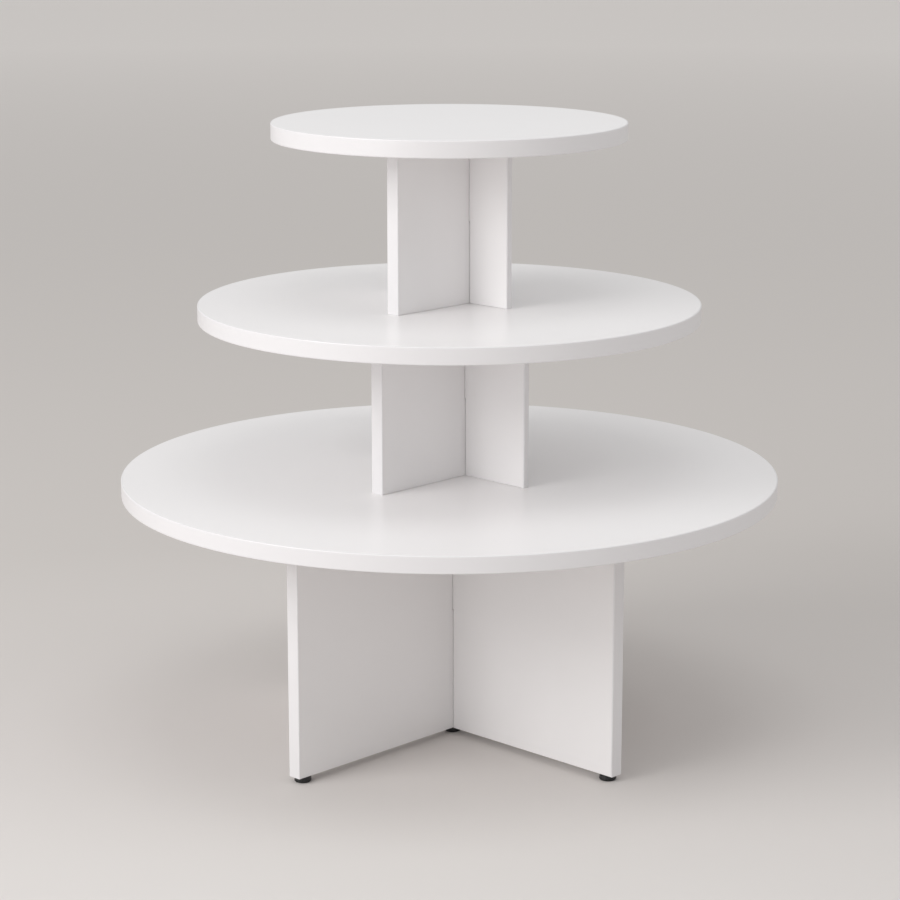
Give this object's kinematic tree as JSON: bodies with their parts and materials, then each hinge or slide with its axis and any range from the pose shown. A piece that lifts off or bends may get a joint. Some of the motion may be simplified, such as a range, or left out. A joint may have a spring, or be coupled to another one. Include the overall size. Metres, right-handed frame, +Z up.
{
  "type": "tiered display table",
  "caption": "Round display table in tiers: white disc tops of falling size, each on a cross of lapped upright panels, standing on black screw feet.",
  "frame": {"origin": "on the floor, on the axis that the round tops share", "axes": "+Z up; +X and +Y along the two upright panels of each cross"},
  "size_m": [1.1, 1.1, 1.048],
  "materials": {
    "laminate": "satin white laminate on board",
    "edge_band": "satin white plastic edge band",
    "glide_plastic": "moulded black plastic",
    "zinc_steel": "bright zinc plate",
    "white_steel": "white powder coat"
  },
  "bodies": {
    "table": {"lower_top_board": "laminate", "lower_top_edge_band": "edge_band", "middle_top_board": "laminate", "middle_top_edge_band": "edge_band", "upper_top_board": "laminate", "upper_top_edge_band": "edge_band", "base_panel_left_right": "laminate", "base_panel_front_back": "laminate", "base_right_edge_band": "edge_band", "base_back_edge_band": "edge_band", "base_left_edge_band": "edge_band", "base_front_edge_band": "edge_band", "middle_panel_left_right": "laminate", "middle_panel_front_back": "laminate", "middle_right_edge_band": "edge_band", "middle_back_edge_band": "edge_band", "middle_left_edge_band": "edge_band", "middle_front_edge_band": "edge_band", "upper_panel_left_right": "laminate", "upper_panel_front_back": "laminate", "upper_right_edge_band": "edge_band", "upper_back_edge_band": "edge_band", "upper_left_edge_band": "edge_band", "upper_front_edge_band": "edge_band", "base_right_bracket": "white_steel", "base_back_bracket": "white_steel", "base_left_bracket": "white_steel", "base_front_bracket": "white_steel", "middle_right_bracket": "white_steel", "middle_back_bracket": "white_steel", "middle_left_bracket": "white_steel", "middle_front_bracket": "white_steel", "upper_right_bracket": "white_steel", "upper_back_bracket": "white_steel", "upper_left_bracket": "white_steel", "upper_front_bracket": "white_steel", "middle_right_riser_screw": "zinc_steel", "middle_back_riser_screw": "zinc_steel", "middle_left_riser_screw": "zinc_steel", "middle_front_riser_screw": "zinc_steel", "upper_right_riser_screw": "zinc_steel", "upper_back_riser_screw": "zinc_steel", "upper_left_riser_screw": "zinc_steel", "upper_front_riser_screw": "zinc_steel", "right_foot_insert": "zinc_steel", "back_foot_insert": "zinc_steel", "left_foot_insert": "zinc_steel", "front_foot_insert": "zinc_steel", "centre_foot_insert": "zinc_steel"},
    "right_foot": {"right_glide": "glide_plastic", "right_foot_stud": "zinc_steel"},
    "back_foot": {"back_glide": "glide_plastic", "back_foot_stud": "zinc_steel"},
    "left_foot": {"left_glide": "glide_plastic", "left_foot_stud": "zinc_steel"},
    "front_foot": {"front_glide": "glide_plastic", "front_foot_stud": "zinc_steel"},
    "centre_foot": {"centre_glide": "glide_plastic", "centre_foot_stud": "zinc_steel"}
  },
  "joints": [
    {"name": "right_foot_screw", "type": "slide", "parent": "table", "child": "right_foot", "axis": [0, 0, -1], "range_m": [0, 0.01]},
    {"name": "back_foot_screw", "type": "slide", "parent": "table", "child": "back_foot", "axis": [0, 0, -1], "range_m": [0, 0.01]},
    {"name": "left_foot_screw", "type": "slide", "parent": "table", "child": "left_foot", "axis": [0, 0, -1], "range_m": [0, 0.01]},
    {"name": "front_foot_screw", "type": "slide", "parent": "table", "child": "front_foot", "axis": [0, 0, -1], "range_m": [0, 0.01]},
    {"name": "centre_foot_screw", "type": "slide", "parent": "table", "child": "centre_foot", "axis": [0, 0, -1], "range_m": [0, 0.01]}
  ]
}
